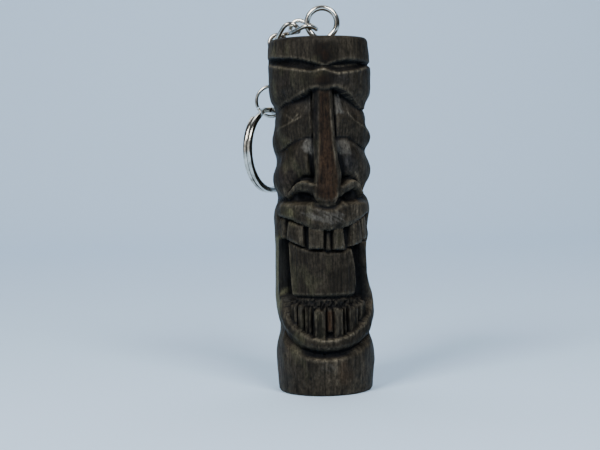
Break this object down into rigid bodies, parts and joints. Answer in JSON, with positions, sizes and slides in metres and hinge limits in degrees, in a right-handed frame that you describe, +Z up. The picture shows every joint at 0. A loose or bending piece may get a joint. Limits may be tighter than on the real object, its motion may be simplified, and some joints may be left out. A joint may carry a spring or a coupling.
{
  "type": "tiki figure keychain",
  "caption": "Carved wooden tiki figure standing on its foot, with a screw eye in the top, a short chain and a split key ring.",
  "frame": {"origin": "middle of the flat foot of the wooden figure", "axes": "+Z up along the figure, the face looks along -Y, +X to the viewer's right"},
  "size_m": [0.0362, 0.0373, 0.1093],
  "materials": {
    "stained_wood": "dark stained, satin, worn pale on the edges",
    "nickel": "nickel plated, lightly tarnished"
  },
  "bodies": {
    "figure": {"tiki_body": "stained_wood", "screw_eye": "nickel"},
    "link_1": {"chain_link_1": "nickel"},
    "link_2": {"chain_link_2": "nickel"},
    "link_3": {"chain_link_3": "nickel"},
    "link_4": {"chain_link_4": "nickel"},
    "jump_ring": {"jump_ring": "nickel"},
    "split_ring": {"split_ring": "nickel"}
  },
  "joints": [
    {"name": "link_1_on_eye", "type": "hinge", "parent": "figure", "child": "link_1", "pos_m": [0.00109, -0.00013, 0.1043], "axis": [0.1219, 0.9925, 0], "range_deg": [0, 150]},
    {"name": "link_2_on_link_1", "type": "hinge", "parent": "link_1", "child": "link_2", "pos_m": [-0.00705, 0.00612, 0.10408], "axis": [0.7869, 0.617, 0], "range_deg": [0, 25]},
    {"name": "link_3_on_link_2", "type": "hinge", "parent": "link_2", "child": "link_3", "pos_m": [-0.01068, 0.01163, 0.1006], "axis": [0.8161, 0.5779, 0], "range_deg": [0, 50]},
    {"name": "link_4_on_link_3", "type": "hinge", "parent": "link_3", "child": "link_4", "pos_m": [-0.01049, 0.01318, 0.09415], "axis": [0.7314, 0.682, 0], "range_deg": [0, 30]},
    {"name": "jump_ring_swing", "type": "hinge", "parent": "link_4", "child": "jump_ring", "pos_m": [-0.0126, 0.01347, 0.08615], "axis": [0.1219, 0.9925, 0], "range_deg": [0, 80]},
    {"name": "split_ring_swing", "type": "hinge", "parent": "jump_ring", "child": "split_ring", "pos_m": [-0.0126, 0.01347, 0.07862], "axis": [0.9925, -0.1219, 0], "range_deg": [-5, 80]}
  ]
}
